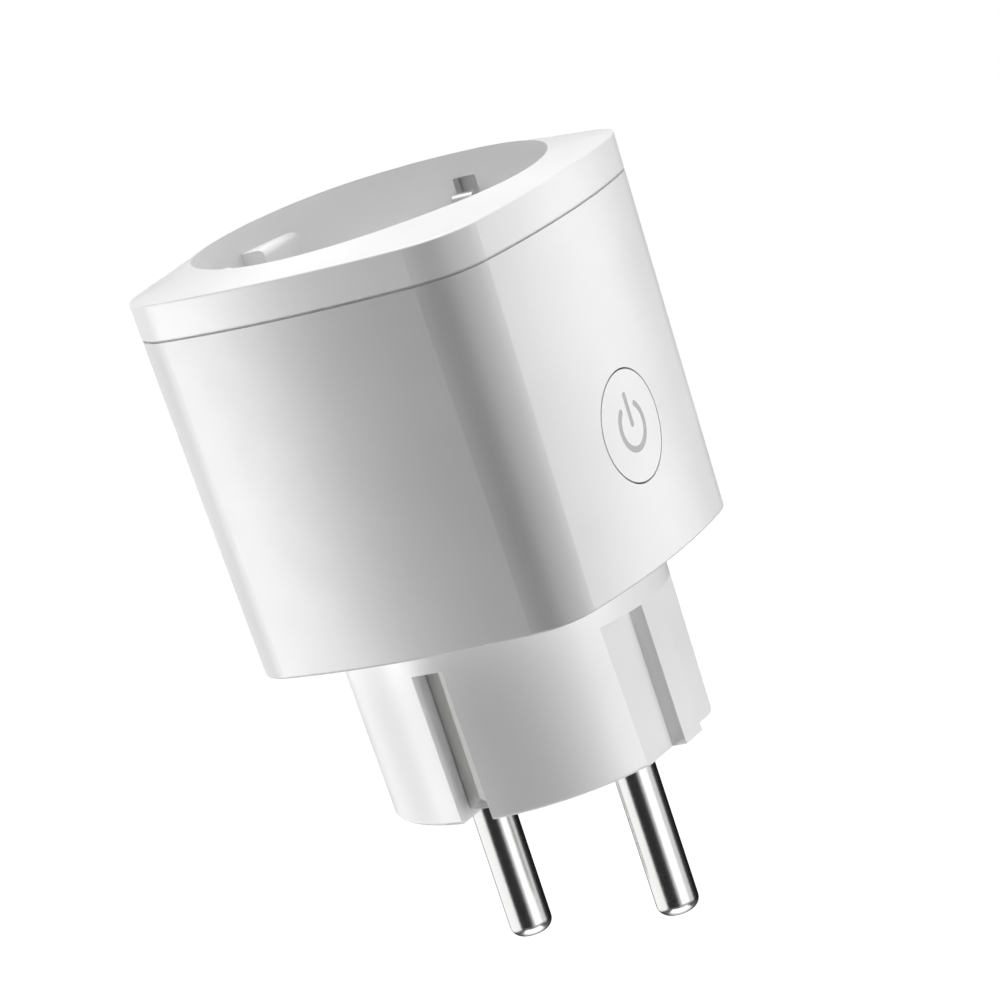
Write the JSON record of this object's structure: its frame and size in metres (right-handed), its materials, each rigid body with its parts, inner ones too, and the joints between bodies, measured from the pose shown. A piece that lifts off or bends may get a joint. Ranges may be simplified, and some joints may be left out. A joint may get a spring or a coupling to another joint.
{
  "type": "smart plug",
  "caption": "Remote-controlled mains plug adapter: round earthed two-pin plug below a rounded-square body with a side power button and a round earthed socket recess on top.",
  "frame": {"origin": "centre of the flat face of the plug that meets the wall outlet", "axes": "+Z along the plug axis from the plug face towards the socket opening; +X through the live pin towards the push button; Y along the line of the two earth contacts"},
  "size_m": [0.0466, 0.0466, 0.0837],
  "materials": {
    "white_shell": "satin",
    "grey_symbol": "satin",
    "clear_plastic": "frosted",
    "nickel_pin": "polished nickel plating",
    "plated_strip": "nickel plated",
    "spring_brass": "rolled",
    "inner_plastic": "moulded",
    "shutter_plastic": "moulded",
    "spring_steel": "rolled",
    "board_laminate": "solder mask",
    "black_plastic": "moulded",
    "relay_plastic": "moulded",
    "tinned_wire": "tinned",
    "copper_wire": "enamelled copper",
    "capacitor_box": "moulded",
    "varistor_coating": "epoxy coated",
    "can_aluminium": "printed sleeve",
    "ferrite": "sintered",
    "resistor_coating": "lacquered"
  },
  "bodies": {
    "casing": {"board_header": "black_plastic", "board_screws": "spring_steel", "bulk_capacitor": "can_aluminium", "choke": "ferrite", "contact_carrier": "inner_plastic", "control_board": "board_laminate", "current_shunt": "spring_brass", "earth_strap_front": "plated_strip", "earth_strap_rear": "plated_strip", "filter_capacitor": "capacitor_box", "fuse_resistor": "resistor_coating", "live_contact": "spring_brass", "live_pin": "nickel_pin", "main_housing": "white_shell", "metering_chip": "black_plastic", "neutral_contact": "spring_brass", "neutral_pin": "nickel_pin", "plug_base": "white_shell", "power_board": "board_laminate", "rectifier": "black_plastic", "relay_base": "black_plastic", "relay_bobbin": "inner_plastic", "relay_cover": "relay_plastic", "relay_fixed_contact": "spring_brass", "relay_terminals": "tinned_wire", "relay_winding": "copper_wire", "relay_yoke": "spring_steel", "shutter_spring": "spring_steel", "smoothing_capacitor": "can_aluminium", "socket_cover": "white_shell", "status_led": "clear_plastic", "surge_varistor": "varistor_coating", "tact_switch_body": "black_plastic", "wireless_board": "board_laminate", "wireless_shield": "plated_strip"},
    "button": {"button_cap": "white_shell", "power_symbol": "grey_symbol", "light_guide": "clear_plastic", "tact_plunger": "black_plastic"},
    "shutter": {"contact_shutter": "shutter_plastic"},
    "armature": {"relay_armature": "spring_steel"},
    "front_earth_clip": {"earth_clip_front": "plated_strip"},
    "rear_earth_clip": {"earth_clip_rear": "plated_strip"}
  },
  "joints": [
    {"name": "button_press", "type": "slide", "parent": "casing", "child": "button", "axis": [-1, 0, 0], "range_m": [0, 0.0005], "stiffness_N_per_m": 1500},
    {"name": "shutter_turn", "type": "hinge", "parent": "casing", "child": "shutter", "pos_m": [0, 0, 0.044], "axis": [0, 0, 1], "range_deg": [0, 38], "stiffness_Nm_per_rad": 0.004},
    {"name": "armature_rock", "type": "hinge", "parent": "casing", "child": "armature", "pos_m": [0.0044, 0.0119, 0.0345], "axis": [0, 1, 0], "range_deg": [0, 5], "stiffness_Nm_per_rad": 0.05},
    {"name": "front_clip_flex", "type": "hinge", "parent": "casing", "child": "front_earth_clip", "pos_m": [0, -0.0196, 0.0446], "axis": [1, 0, 0], "range_deg": [0, 5], "stiffness_Nm_per_rad": 0.3},
    {"name": "rear_clip_flex", "type": "hinge", "parent": "casing", "child": "rear_earth_clip", "pos_m": [0, 0.0196, 0.0446], "axis": [-1, 0, 0], "range_deg": [0, 5], "stiffness_Nm_per_rad": 0.3}
  ]
}
